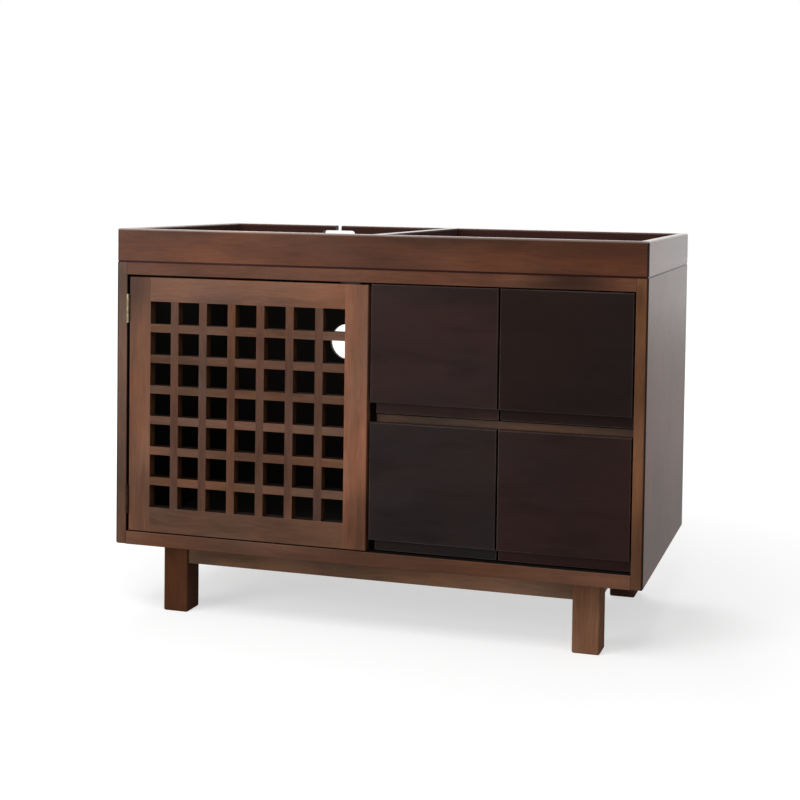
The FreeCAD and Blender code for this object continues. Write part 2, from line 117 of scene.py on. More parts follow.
def add_lamp(name, power, size, place, target):
    """Soft rectangular lamp turned to face a target."""
    light = bpy.data.lights.new(name, "AREA")
    light.shape = "RECTANGLE"
    light.energy = power
    light.size, light.size_y = size
    lamp = bpy.data.objects.new(name, light)
    lamp.location = place
    lamp.rotation_euler = (target - place).to_track_quat("-Z", "Y").to_euler()
    bpy.context.scene.collection.objects.link(lamp)


add_lamp("window", window_power, window_size, window_place, window_target)
add_lamp("ceiling_lamp", ceiling_power, ceiling_size, ceiling_place, ceiling_target)
add_lamp("rear_lamp", rear_power, rear_size, rear_place, rear_target)
room = bpy.data.worlds.new("room")
room.use_nodes = True
bpy.context.scene.world = room
room_tree = room.node_tree
room_shown = reckon(room_tree, "MAXIMUM", *seen_and_mirrored(room_tree))
room_strength = spread(room_tree, room_shown, 0.0, 1.0, room_light, room_shows)
room_shader = room_tree.nodes["Background"]
room_shader.inputs["Color"].default_value = room_white
room_tree.links.new(room_strength, room_shader.inputs["Strength"])


# Floor. A plain matt sheet under the whole view, that shows white and keeps the soft shadow of
# the legs and case. In a gloss it shows darker near the piece than far off.
floor_half_side = 15.0
floor_grey = 0.6
lift_seen = (0.58, 0.97)
lift_seen_reach = (0.6, 3.0)
lift_gloss = (0.1, 0.88)
lift_gloss_reach = (1.6, 8.5)


def length(tree, vector):
    """Length of a vector."""
    return add_node(tree, "VectorMath", {0: vector}, operation="LENGTH").outputs["Value"]


floor_mesh = bpy.data.meshes.new("floor")
floor_form = bmesh.new()
bmesh.ops.create_grid(floor_form, x_segments=1, y_segments=1, size=floor_half_side)
floor_form.to_mesh(floor_mesh)
floor_form.free()
floor = bpy.data.objects.new("floor", floor_mesh)
bpy.context.scene.collection.objects.link(floor)
floor_paint = bpy.data.materials.new("floor_paint")
floor_paint.use_nodes = True
floor_tree = floor_paint.node_tree
floor_tree.nodes.remove(floor_tree.nodes["Principled BSDF"])
floor_colour = (floor_grey, floor_grey, floor_grey, 1.0)
floor_matt = add_node(floor_tree, "BsdfDiffuse", {"Color": floor_colour})
floor_way = length(floor_tree, add_node(floor_tree, "TexCoord").outputs["Object"])
floor_seen, floor_mirrored = seen_and_mirrored(floor_tree)
seen_lift = spread(floor_tree, floor_way, *lift_seen_reach, *lift_seen)
seen_lift = reckon(floor_tree, "MULTIPLY", floor_seen, seen_lift)
gloss_lift = spread(floor_tree, floor_way, *lift_gloss_reach, *lift_gloss)
gloss_lift = reckon(floor_tree, "MULTIPLY", floor_mirrored, gloss_lift)
floor_lift = reckon(floor_tree, "ADD", seen_lift, gloss_lift)
floor_glow = add_node(floor_tree, "Emission", {"Strength": floor_lift})
floor_sum = add_node(floor_tree, "AddShader", {0: floor_matt.outputs[0], 1: floor_glow.outputs[0]})
floor_tree.links.new(floor_sum.outputs[0], floor_tree.nodes["Material Output"].inputs["Surface"])
floor_mesh.materials.append(floor_paint)


# Base. Four square legs with rounded corners and a recessed apron between each pair, in solid
# hardwood, joined with stub tenons and stained walnut brown under a satin lacquer.
leg_numbers_from = 1
apron_numbers_from = 6
left_leg_tone = (78, 47, 29)
right_leg_tone = (126, 88, 66)
back_leg_tone = (90, 65, 50)
# The side faces of the front legs get tones of their own, painted light and shade.
left_leg_side_shading_tone = (78, 51, 38)
right_leg_side_shading_tone = (132, 92, 71)
apron_tone = (104, 76, 58)
# A patch, partly uneven stain and partly painted light and shade, has a middle and a reach, both
# across and up, and a share of the tone.
apron_patches = [
    ((-0.106, 0.115), (0.08, 0.08), 0.76),
    ((0.126, 0.115), (0.19, 0.08), 1.5),
    ((0.264, 0.115), (0.13, 0.08), 1.6),
]
leg_gloss = 0.05
leg_roughness = 0.6
lacquer_gloss = 0.1
lacquer_roughness = 0.38
lacquer_span = (0.0, 1.6)
lacquer_shares = (0.92, 1.12)
grazing_blend = 0.5
grazing_span = (0.7, 0.97)
grazing_share = 0.35
inside_roughness = 0.8
shading_shares = (0.8, 1.2)
looking_span = (0.75, 0.95)
warm_tint = (1.14, 0.98, 0.80, 1.0)
cool_tint = (0.90, 1.01, 1.14, 1.0)
tone_contrast = 0.55
board_shift = (0.73, 1.31, 0.57)
bar_turn = 0.9
bar_turn_axis = (0.5, 0.7, 0.5)
bar_jump = 9.7
past_all_bars = 1000.0
# A pattern has so many marks to the metre along the grain and across it, and its noise has so much
# detail and roughness.
noise_span = (0.3, 0.7)
noise_middle = (0.5, 0.5, 0.5)
sway_to_metre = (1.4, 4.0)
sway_detail = 2.0
sway_reach = 0.03
figure_to_metre = (2.2, 34.0)
figure_noise = (4.0, 0.55)
figure_share = 0.27
stain_to_metre = (5.0, 11.0)
stain_noise = (3.0, 0.5)
stain_share = 0.48
streaks_to_metre = (10.0, 260.0)
streak_noise = (3.0, 0.6)
streak_share = 0.25
streak_relief = 0.25
pores_to_metre = (75.0, 1500.0)
pore_noise = (2.0, 0.6)
pore_span = (0.72, 0.98)
pore_most = 0.3
pore_depth = 0.3
tint_to_metre = (4.1, 9.3)
tint_noise = (2.0, 0.5)
blotch_to_metre = (3.1, 14.0)
blotch_noise = (3.0, 0.6)
blotch_span = (0.62, 0.95)
blotch_most = 0.5
blotch_depth = 0.42
end_grain_span = (0.8, 1.0)
end_grain_most = 0.7
end_grain_depth = 0.55
# Arrises get a pale tone, partly worn stain and partly a painted highlight.
wear_and_highlight_reach = 0.002
wear_and_highlight_samples = 6
wear_and_highlight_facing = (0.995, 0.86)
wear_and_highlight_span = (0.2, 0.8)
wear_and_highlight_patches = (0.4, 1.0)
edge_wear_and_highlight = 0.12
rubbed_and_highlight_tone = (158, 120, 98)
ply_pitch = 0.0015
ply_depth = 0.4
ply_edge_span = (0.6, 0.3)
soft_arris = 0.0011
soft_arris_samples = 4
grain_relief = 0.0002
grain_strength = 0.25
screen_white = 255
curve_knee = 0.04045
curve_slope = 12.92
curve_lift = 0.055
curve_power = 2.4


def colour(screen, share=1.0):
    """Colour as a shader takes it, from the 0 to 255 values that a screen shows, times a share."""
    shader_values = []
    for value in screen:
        shown = value / screen_white
        if shown <= curve_knee:
            linear = shown / curve_slope
        else:
            linear = ((shown + curve_lift) / (1 + curve_lift)) ** curve_power
        shader_values.append(linear * share)
    return (*shader_values, 1.0)


def blend(tree, factor, low, high, mode="MIX"):
    """Mix of two colours, by a share from 0 to 1."""
    mixed = add_node(tree, "Mix", {0: factor, 6: low, 7: high}, data_type="RGBA", blend_type=mode)
    return mixed.outputs[2]


def drawn_out(tree, place, grain, along, across):
    """Place scaled so that a pattern has so many marks to the metre along and across the grain."""
    scale = tuple(along if axis == grain else across for axis in "XYZ")
    return add_node(tree, "Mapping", {"Vector": place, "Scale": scale}).outputs["Vector"]


def clouds(tree, place, detail, roughness):
    """Soft noise with features one unit of the place wide, carried to a span of about 0 to 1."""
    sockets = {"Vector": place, "Scale": 1.0, "Detail": detail, "Roughness": roughness}
    return spread(tree, add_node(tree, "TexNoise", sockets).outputs[0], *noise_span)


def vectors(tree, operation, first, second):
    """Sum, product or other plain reckoning of two vectors, or of a vector and a length."""
    other = "Scale" if operation == "SCALE" else 1
    return add_node(tree, "VectorMath", {0: first, other: second}, operation=operation).outputs[0]


def position(tree, axis):
    """Place along an axis."""
    place = add_node(tree, "TexCoord").outputs["Object"]
    return add_node(tree, "SeparateXYZ", {0: place}).outputs["XYZ".index(axis)]


def slope(tree, axis):
    """Share of a face's normal along an axis."""
    normal = add_node(tree, "TexCoord").outputs["Normal"]
    return add_node(tree, "SeparateXYZ", {0: normal}).outputs["XYZ".index(axis)]


def looks(tree, way):
    """One on the faces that look a way, such as X+ or Z-."""
    axis, sign = way
    facing = reckon(tree, "MULTIPLY", slope(tree, axis), float(sign + "1"))
    return spread(tree, facing, *looking_span)


def on_faces(ways, tone):
    """A tone for the faces that look each of the ways."""
    return {way: tone for way in ways.split()}


def arris_wear_and_highlight(tree, reach):
    """One at an outer edge and zero beyond the reach from it."""
    rounded = add_node(tree, "Bevel", {"Radius": reach}, samples=wear_and_highlight_samples).outputs[0]
    flat = add_node(tree, "NewGeometry").outputs["Normal"]
    facing = add_node(tree, "VectorMath", {0: rounded, 1: flat}, operation="DOT_PRODUCT")
    return spread(tree, facing.outputs["Value"], *wear_and_highlight_facing)


def new_material(name):
    """Empty material, its node tree and its shader."""
    material = bpy.data.materials.new(name)
    material.use_nodes = True
    return material, material.node_tree, material.node_tree.nodes["Principled BSDF"]


def stained_wood(
    name,
    grain,
    tone,
    number,
    contrast=tone_contrast,
    gloss=lacquer_gloss,
    roughness=lacquer_roughness,
    wear_and_highlight=edge_wear_and_highlight,
    strip=None,
    painted_shading=None,
    tinted=1.0,
    ply=None,
    worn_and_highlight_tone=rubbed_and_highlight_tone,
    arris=soft_arris,
):
    """Open-grained hardwood under a brown stain and a satin lacquer.

    The number gives each board its own figure, and a strip gives each bar of a set its own. Faces
    that look the ways given, mostly into the piece or its holes, get tones of their own as painted
    light and shade, and are left dull. The arrises get a pale tone, partly worn and partly a
    painted highlight. A ply is the axis across the layers of plywood, which show at its edges.
    """
    material, tree, shader = new_material(name)
    place = add_node(tree, "TexCoord").outputs["Object"]
    shift = tuple(number * each for each in board_shift)
    board = add_node(tree, "Mapping", {"Vector": place, "Location": shift}).outputs["Vector"]
    if strip:
        axis, pitch = strip
        pitches = tuple(pitch if axis == each else past_all_bars for each in "XYZ")
        bar = vectors(tree, "SNAP", place, pitches)
        turning = {"Vector": bar, "Angle": bar_turn, "Axis": bar_turn_axis}
        turned = add_node(tree, "VectorRotate", turning).outputs[0]
        board = vectors(tree, "ADD", board, vectors(tree, "SCALE", turned, bar_jump))
    swaying = {"Vector": drawn_out(tree, board, grain, *sway_to_metre), "Detail": sway_detail}
    sway = add_node(tree, "TexNoise", swaying).outputs["Color"]
    sway = vectors(tree, "SUBTRACT", sway, noise_middle)
    bent = vectors(tree, "ADD", board, vectors(tree, "SCALE", sway, sway_reach))
    figure = clouds(tree, drawn_out(tree, bent, grain, *figure_to_metre), *figure_noise)
    streaks = clouds(tree, drawn_out(tree, bent, grain, *streaks_to_metre), *streak_noise)
    stain = clouds(tree, drawn_out(tree, board, grain, *stain_to_metre), *stain_noise)
    pores = clouds(tree, drawn_out(tree, bent, grain, *pores_to_metre), *pore_noise)
    pores = spread(tree, pores, *pore_span)
    tint = clouds(tree, drawn_out(tree, bent, grain, *tint_to_metre), *tint_noise)
    blotches = clouds(tree, drawn_out(tree, bent, grain, *blotch_to_metre), *blotch_noise)
    share = reckon(tree, "MULTIPLY", figure, figure_share)
    share = reckon(tree, "ADD", share, reckon(tree, "MULTIPLY", stain, stain_share))
    share = reckon(tree, "ADD", share, reckon(tree, "MULTIPLY", streaks, streak_share))
    shade = blend(tree, share, colour(tone, 1 - contrast), colour(tone, 1 + contrast))
    shade = blend(tree, tinted, shade, blend(tree, tint, cool_tint, warm_tint), "MULTIPLY")
    blotched = spread(tree, blotches, *blotch_span, 0.0, blotch_most)
    shade = blend(tree, blotched, shade, colour(tone, blotch_depth))
    pored = reckon(tree, "MULTIPLY", pores, pore_most)
    shade = blend(tree, pored, shade, colour(tone, pore_depth))
    end = reckon(tree, "ABSOLUTE", slope(tree, grain))
    end = spread(tree, end, *end_grain_span, 0.0, end_grain_most)
    shade = blend(tree, end, shade, colour(tone, end_grain_depth))
    # Pale tone on the arrises, partly worn stain and partly a painted highlight.
    worn_and_lit = spread(tree, stain, *wear_and_highlight_span, *wear_and_highlight_patches)
    worn_and_lit = reckon(tree, "MULTIPLY", arris_wear_and_highlight(tree, wear_and_highlight_reach), worn_and_lit)
    shade = blend(tree, reckon(tree, "MULTIPLY", worn_and_lit, wear_and_highlight), shade, colour(worn_and_highlight_tone))
    if ply:
        layer = reckon(tree, "DIVIDE", position(tree, ply), ply_pitch)
        layer = reckon(tree, "PINGPONG", layer, 1.0)
        edge = spread(tree, reckon(tree, "ABSOLUTE", slope(tree, ply)), *ply_edge_span)
        shade = blend(tree, reckon(tree, "MULTIPLY", edge, layer), shade, colour(tone, ply_depth))
    # Faces that look the given ways get tones of their own and are left dull: painted shade within
    # the piece and its holes, painted light and shade on the sides of the legs.
    dull = 0.0
    for way, face_shading_tone in (painted_shading or {}).items():
        shading_mask = looks(tree, way)
        darker, lighter = (colour(face_shading_tone, each) for each in shading_shares)
        shade = blend(tree, shading_mask, shade, blend(tree, streaks, darker, lighter))
        dull = reckon(tree, "MAXIMUM", dull, shading_mask)
    tree.links.new(shade, shader.inputs["Base Color"])
    grazing = add_node(tree, "LayerWeight", {"Blend": grazing_blend}).outputs["Facing"]
    smoothing = spread(tree, grazing, *grazing_span, 1.0, grazing_share)
    film = reckon(tree, "ADD", pores, streaks)
    film = spread(tree, film, *lacquer_span, *(roughness * each for each in lacquer_shares))
    film = reckon(tree, "MULTIPLY", film, smoothing)
    film = reckon(tree, "MAXIMUM", film, reckon(tree, "MULTIPLY", dull, inside_roughness))
    tree.links.new(film, shader.inputs["Roughness"])
    relief = reckon(tree, "SUBTRACT", reckon(tree, "MULTIPLY", streaks, streak_relief), pores)
    sockets = {"Strength": grain_strength, "Distance": grain_relief, "Height": relief}
    if arris:
        softened = add_node(tree, "Bevel", {"Radius": arris}, samples=soft_arris_samples)
        sockets["Normal"] = softened.outputs[0]
    tree.links.new(add_node(tree, "Bump", sockets).outputs[0], shader.inputs["Normal"])
    shader.inputs["Specular IOR Level"].default_value = gloss
    return material


def lay_over(material, mask, tone, mode="MIX"):
    """Lays a tone over a finish where the mask is one, or tints the finish with it."""
    tree = material.node_tree
    shader = tree.nodes["Principled BSDF"]
    under = shader.inputs["Base Color"].links[0].from_socket
    tree.links.new(blend(tree, mask, under, tone, mode), shader.inputs["Base Color"])


def stain_and_shading_patch(material, centre, reach, share):
    """Deepens or lightens a finish by a share over a soft oval seen from the front, as stain and
    shading.
    """
    tree = material.node_tree
    place = add_node(tree, "TexCoord").outputs["Object"]
    away = vectors(tree, "SUBTRACT", place, (centre[0], 0.0, centre[1]))
    away = vectors(tree, "MULTIPLY", away, (1 / reach[0], 0.0, 1 / reach[1]))
    mask = spread(tree, length(tree, away), 1.0, 0.0, way="SMOOTHSTEP")
    lay_over(material, mask, (share, share, share, 1.0), "MULTIPLY")


def dress(node, material, patches=()):
    """Give a piece of the frame its finish, with its patches of uneven stain and painted light and
    shade.
    """
    for patch in patches:
        stain_and_shading_patch(material, *patch)
    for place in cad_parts[node].material_slots:
        place.material = material


legs = [
    ("front_left", left_leg_tone, left_leg_side_shading_tone),
    ("front_right", right_leg_tone, right_leg_side_shading_tone),
    ("back_left", back_leg_tone, back_leg_tone),
    ("back_right", back_leg_tone, back_leg_tone),
]
# Each leg's side faces take the side tone, painted light and shade, and are left dull.
for number, (leg, tone, leg_side_shading_tone) in enumerate(legs, leg_numbers_from):
    finish = stained_wood(
        f"{leg}_leg_stain",
        "Z",
        tone,
        number,
        gloss=leg_gloss,
        roughness=leg_roughness,
        painted_shading=on_faces("X+ X-", leg_side_shading_tone),
    )
    dress(f"{leg}_leg", finish)
aprons = [("front", "X", apron_patches), ("back", "X", []), ("left", "Y", []), ("right", "Y", [])]
for number, (side, grain, patches) in enumerate(aprons, apron_numbers_from):
    finish = stained_wood(f"{side}_apron_stain", grain, apron_tone, number)
    dress(f"{side}_apron", finish, patches)


# Case. Boards of the same stained hardwood, housed into the side panels, and a plywood back nailed
# into rebates. The grain runs up the sides and along all that lies level. The outer upright arrises
# at the front get a painted shade, the faces within the case a painted shade near black, and the
# tops under the tray a painted shadow line.
left_side_number = 11
right_side_number = 13
bottom_number = 13
rail_number = 14
divider_rail_number = 16
hidden_numbers_from = 17
back_number = 22
left_side_tone = (92, 65, 50)
right_side_tone = (101, 68, 46)
bottom_tone = (81, 54, 40)
rail_tone = (87, 55, 40)
divider_rail_tone = (78, 59, 48)
# Painted shade: the hidden boards and the faces within the case are nearly black.
inner_shade_tone = (12, 8, 6)
inner_gloss = 0.03
inner_roughness = 0.7
inner_wear_and_highlight = 0.05
back_tone = (74, 50, 38)
case_inside_shade_tone = (13, 9, 7)
# Painted sheen colour for the outer face at the right.
right_face_sheen_tint = (1.19, 0.92, 0.92, 1.0)
# The case's patches are partly uneven stain and partly painted light and shade.
left_side_patches = [((-0.49, 0.255), (0.06, 0.11), 0.55), ((-0.49, 0.63), (0.06, 0.06), 0.6)]
right_side_patches = [
    ((0.486, 0.63), (0.018, 0.05), 0.6),
    ((0.486, 0.46), (0.018, 0.05), 0.8),
    ((0.49, 0.36), (0.06, 0.27), 1.3),
    ((0.49, 0.2), (0.06, 0.13), 0.72),
]
bottom_patches = [
    ((-0.46, 0.144), (0.1, 0.06), 1.3),
    ((-0.176, 0.144), (0.08, 0.06), 1.25),
    ((0.3, 0.144), (0.15, 0.06), 1.3),
    ((0.39, 0.144), (0.08, 0.06), 1.2),
    ((0.47, 0.144), (0.12, 0.06), 1.7),
]
rail_patches = [
    ((0.01, 0.655), (0.095, 0.05), 1.25),
    ((0.254, 0.655), (0.05, 0.05), 1.35),
    ((0.376, 0.655), (0.1, 0.05), 0.33),
]
divider_rail_patches = [((0.37, 0.4), (0.18, 0.1), 1.4)]
# Painted shade on the front upright arrises.
arris_shade_tone = (36, 21, 14)
arris_side = (0.4958, 0.4978)
arris_front = (0.2498, 0.2524)
# Painted shadow along the line where the tray stands on the case.
shadow_line_tone = (52, 17, 7)
case_shadow_line_heights = (0.6628, 0.6634)
nail_pitch = 0.09
nail_radius = 0.0017
nail_edge_shares = (1.1, 0.9)
nail_inset = 0.006
nail_tone = (96, 92, 90)


def paint_right_face_sheen(material):
    """Painted sheen colour: a redder tone on the outer face at the right only."""
    lay_over(material, looks(material.node_tree, "X+"), right_face_sheen_tint, "MULTIPLY")


def paint_arris_shade(material):
    """Painted shade: a dark tone on the upright arrises at the front corners of the piece."""
    tree = material.node_tree
    outward = spread(tree, reckon(tree, "ABSOLUTE", position(tree, "X")), *arris_side)
    forward = spread(tree, reckon(tree, "MULTIPLY", position(tree, "Y"), -1.0), *arris_front)
    lay_over(material, reckon(tree, "MULTIPLY", outward, forward), colour(arris_shade_tone))


def paint_shadow_line(material, from_height, to_height):
    """Painted shadow along the line between the tray and the case, from nothing at one height to
    full at the other.
    """
    tree = material.node_tree
    mask = spread(tree, position(tree, "Z"), from_height, to_height)
    lay_over(material, mask, colour(shadow_line_tone))


case_sides = [
    ("left", left_side_number, left_side_tone, "X+", left_side_patches),
    ("right", right_side_number, right_side_tone, "X-", right_side_patches),
]
for side, number, tone, way, patches in case_sides:
    painted_shading = on_faces(way, case_inside_shade_tone)
    finish = stained_wood(f"{side}_side_stain", "Z", tone, number, painted_shading=painted_shading)
    if side == "right":
        paint_right_face_sheen(finish)
    paint_arris_shade(finish)
    paint_shadow_line(finish, *case_shadow_line_heights)
    dress(f"{side}_side_panel", finish, patches)
bottom_finish = stained_wood(
    "bottom_board_stain",
    "X",
    bottom_tone,
    bottom_number,
    painted_shading=on_faces("Z+", case_inside_shade_tone),
)
dress("bottom_board", bottom_finish, bottom_patches)
rail_finish = stained_wood(
    "top_front_rail_stain",
    "X",
    rail_tone,
    rail_number,
    painted_shading=on_faces("Z+ Z- Y+", case_inside_shade_tone),
)
paint_shadow_line(rail_finish, *case_shadow_line_heights)
dress("top_front_rail", rail_finish, rail_patches)
divider_rail_finish = stained_wood(
    "drawer_divider_rail_stain", "X", divider_rail_tone, divider_rail_number
)
dress("drawer_divider_rail", divider_rail_finish, divider_rail_patches)
# The hidden boards are painted nearly black as shade.
hidden_boards = [
    ("top_back_rail", "X", None),
    ("centre_partition", "Z", None),
    ("drawer_upright", "Z", None),
    ("dust_board", "X", "Z"),
]
for number, (node, grain, ply) in enumerate(hidden_boards, hidden_numbers_from):
    finish = stained_wood(
        f"{node}_stain",
        grain,
        inner_shade_tone,
        number,
        gloss=inner_gloss,
        roughness=inner_roughness,
        wear_and_highlight=inner_wear_and_highlight,
        ply=ply,
    )
    dress(node, finish)
back_finish = stained_wood(
    "back_panel_stain",
    "X",
    back_tone,
    back_number,
    painted_shading=on_faces("Y-", case_inside_shade_tone),
    ply="Y",
)
back_low, back_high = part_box("back_panel")
back_tree = back_finish.node_tree
nail_edge = [nail_radius * share for share in nail_edge_shares]
nail_masks = []
for edge_axis, run_axis in (("X", "Z"), ("Z", "X")):
    edge_index = "XYZ".index(edge_axis)
    middle = (back_low[edge_index] + back_high[edge_index]) / 2
    reach = (back_high[edge_index] - back_low[edge_index]) / 2 - nail_inset
    across = reckon(back_tree, "SUBTRACT", position(back_tree, edge_axis), middle)
    across = reckon(back_tree, "ABSOLUTE", across)
    away = reckon(back_tree, "SUBTRACT", across, reach)
    along = reckon(back_tree, "PINGPONG", position(back_tree, run_axis), nail_pitch / 2)
    gap = add_node(back_tree, "CombineXYZ", {0: away, 1: along}).outputs[0]
    nail_masks.append(spread(back_tree, length(back_tree, gap), *nail_edge))
lay_over(back_finish, reckon(back_tree, "MAXIMUM", *nail_masks), colour(nail_tone))
dress("back_panel", back_finish)


# Tray. Four mitred hardwood boards of one moulded section stand on the case, with a divider housed
# between front and back. Their rounded rims are pale, partly worn stain and partly a painted
# highlight. A shadow line parts them from the case, deepened by a painted shadow, and their inner
# faces get a painted shade.
tray_numbers_from = 24
tray_divider_number = 29
tray_tone = (83, 50, 34)
tray_side_tone = (92, 60, 46)
# Painted shade on the inner faces of the tray boards and divider.
tray_inside_shade_tone = (62, 36, 30)
tray_right_tone = (97, 67, 52)
tray_right_gloss = 0.24
# The tray front's patches are partly uneven stain and partly painted light and shade.
tray_front_patches = [
    ((-0.27, 0.69), (0.14, 0.07), 1.48),
    ((0.0, 0.69), (0.14, 0.06), 0.82),
    ((0.25, 0.722), (0.5, 0.045), 0.6),
    ((0.38, 0.668), (0.07, 0.03), 0.76),
    ((0.47, 0.715), (0.14, 0.03), 0.68),
]
# Painted highlight on the rims, partly worn stain.
rim_highlight_tone = (190, 172, 162)
rim_highlight_heights = (0.7228, 0.7258)
rim_highlight_shares = {"front": 0.66, "right": 0.6, "back": 0.12, "left": 0.12, "divider": 0.55}
tray_shadow_line_heights = (0.6674, 0.6668)


def paint_rim_highlight(material, share):
    """Pale rim along the top of a board, partly worn stain and partly a painted highlight."""
    tree = material.node_tree
    mask = spread(tree, position(tree, "Z"), *rim_highlight_heights, 0.0, share)
    lay_over(material, mask, colour(rim_highlight_tone))


tray_boards = [
    ("front", "X", "Y+", tray_tone, lacquer_gloss, tray_front_patches),
    ("right", "Y", "X-", tray_right_tone, tray_right_gloss, []),
    ("back", "X", "Y-", tray_side_tone, lacquer_gloss, []),
    ("left", "Y", "X+", tray_side_tone, lacquer_gloss, []),
]
for number, (board, grain, way, tone, gloss, patches) in enumerate(tray_boards, tray_numbers_from):
    finish = stained_wood(
        f"tray_{board}_board_stain",
        grain,
        tone,
        number,
        gloss=gloss,
        painted_shading=on_faces(way, tray_inside_shade_tone),
    )
    if board == "right":
        paint_right_face_sheen(finish)
    paint_arris_shade(finish)
    paint_rim_highlight(finish, rim_highlight_shares[board])
    paint_shadow_line(finish, *tray_shadow_line_heights)
    dress(f"tray_{board}_board", finish, patches)
divider_finish = stained_wood(
    "tray_divider_stain",
    "Y",
    tray_side_tone,
    tray_divider_number,
    painted_shading=on_faces("X+ X-", tray_inside_shade_tone),
)
paint_rim_highlight(divider_finish, rim_highlight_shares["divider"])
dress("tray_divider", divider_finish)


# Door. A mortised and tenoned frame of the same wood with a square lattice, halved together so that
# both sets of bars lie flush. It is a shade lighter and pinker than the case. The faces in its
# holes and at its back get a painted shade, darker on the sills than on the cheeks.
door_numbers_from = 31
lattice_numbers_from = 36
left_stile_tone = (103, 70, 53)
right_stile_tone = (122, 81, 61)
top_rail_tone = (109, 73, 55)
bottom_rail_tone = (92, 65, 50)
upright_bar_tone = (89, 64, 53)
cross_bar_tone = (97, 70, 56)
# Painted shade in the holes, on the cheeks and darker on the sills, and on the back of the door.
cheek_shade_tone = (72, 46, 29)
sill_shade_tone = (24, 13, 8)
door_back_shade_tone = (66, 42, 29)
# The stiles' patches are partly uneven stain and partly painted light and shade.
left_stile_patches = [((-0.455, 0.62), (0.06, 0.1), 0.5), ((-0.455, 0.345), (0.06, 0.1), 1.35)]
right_stile_patches = [((-0.02, 0.18), (0.06, 0.14), 0.64), ((-0.02, 0.33), (0.06, 0.12), 1.3)]
door_wear_and_highlight = 0.3
bar_pitch = 0.0574
bar_gloss = 0.015

door_members = [
    ("left_stile", "Z", left_stile_tone, "X+", cheek_shade_tone, left_stile_patches),
    ("right_stile", "Z", right_stile_tone, "X-", cheek_shade_tone, right_stile_patches),
    ("bottom_rail", "X", bottom_rail_tone, "Z+", sill_shade_tone, []),
    ("top_rail", "X", top_rail_tone, "Z-", sill_shade_tone, []),
]
for number, member in enumerate(door_members, door_numbers_from):
    name, grain, tone, way, hole_shade_tone, patches = member
    finish = stained_wood(
        f"door_{name}_stain",
        grain,
        tone,
        number,
        wear_and_highlight=door_wear_and_highlight,
        painted_shading={**on_faces(way, hole_shade_tone), "Y+": door_back_shade_tone},
    )
    dress(f"door_{name}", finish, patches)
lattice_bars = [
    ("upright", "Z", "X", upright_bar_tone, "X+ X-", cheek_shade_tone),
    ("cross", "X", "Z", cross_bar_tone, "Z+ Z-", sill_shade_tone),
]
for number, bars in enumerate(lattice_bars, lattice_numbers_from):
    name, grain, strip_axis, tone, ways, hole_shade_tone = bars
    finish = stained_wood(
        f"lattice_{name}_stain",
        grain,
        tone,
        number,
        gloss=bar_gloss,
        wear_and_highlight=0.0,
        strip=(strip_axis, bar_pitch),
        painted_shading={**on_faces(ways, hole_shade_tone), "Y+": door_back_shade_tone},
        arris=None,
    )
    dress(f"lattice_{name}_bars", finish)


# Drawer faces and fronts. Plain hardwood boards, each face fixed on its drawer's front, under a
# black-brown stain and a satin lacquer, which nearly hide the grain. Each took the stain a little
# differently. The fronts are painted lighter against the shade the faces cast on them, and the
# arrises of the faces get a pale tone, partly worn and partly a painted highlight.
drawer_numbers_from = 41
face_tones = {
    "upper_left": (43, 28, 27),
    "upper_right": (30, 18, 16),
    "lower_left": (37, 29, 29),
    "lower_right": (42, 27, 25),
}
# The fronts, below the faces, get lighter tones than the faces: painted light against their shade.
front_lit_tones = {
    "upper_left": (50, 33, 31),
    "upper_right": (35, 21, 19),
    "lower_left": (37, 31, 30),
    "lower_right": (49, 31, 29),
}
face_gloss = 0.07
face_contrast = 0.22
face_tinted = 0.8
# The faces' arrises get a grey tone, partly worn and partly a painted highlight.
face_wear_and_highlight = 0.9
face_rubbed_and_highlight_tone = (104, 95, 88)

for part, tones in (("face", face_tones), ("front", front_lit_tones)):
    for number, (drawer, tone) in enumerate(tones.items(), drawer_numbers_from):
        finish = stained_wood(
            f"{drawer}_{part}_stain",
            "X",
            tone,
            number,
            contrast=face_contrast,
            gloss=face_gloss,
            wear_and_highlight=face_wear_and_highlight,
            tinted=face_tinted,
            worn_and_highlight_tone=face_rubbed_and_highlight_tone,
        )
        dress(f"{drawer}_drawer_{part}", finish)


# Drawer boxes and runners. Pale clear-lacquered hardwood with plywood bottoms. The grooved sides
# ride on hardwood strips, which are screwed to the case.
box_numbers_from = 51
runner_number = 59
box_tone = (182, 150, 112)
box_contrast = 0.22
runner_screw_radius = 0.0028
runner_screw_proud = 0.0001
runner_screw_shares = (0.12, 0.5, 0.88)
runner_faces = ((0.0188, 1.0), (0.22985, -1.0), (0.26025, 1.0), (0.4713, -1.0))
runner_heights = (0.25, 0.497)
screw_sides = 24
screw_depth = 0.0016
screw_taper = 0.45
recess_arm = 0.56
recess_blade = 0.13
recess_sink = 0.4
recess_turn = 1.9
steel_tone = (168, 166, 163)
steel_tarnish_tone = (120, 116, 112)
steel_roughness = 0.3
steel_tarnish = 0.5
tarnish_to_metre = (130.0, 130.0)
tarnish_noise = (4.0, 0.6)
brushing_to_metre = (300.0, 3000.0)
brushing_noise = (2.0, 0.6)
brushing_roughness = 0.06
brushing_relief = 0.00005
brushing_strength = 0.15
polish_shares = (0.8, 1.3)


def verts_of(geometry):
    """The vertices among the parts of a mesh that a step has made."""
    return [each for each in geometry if isinstance(each, bmesh.types.BMVert)]


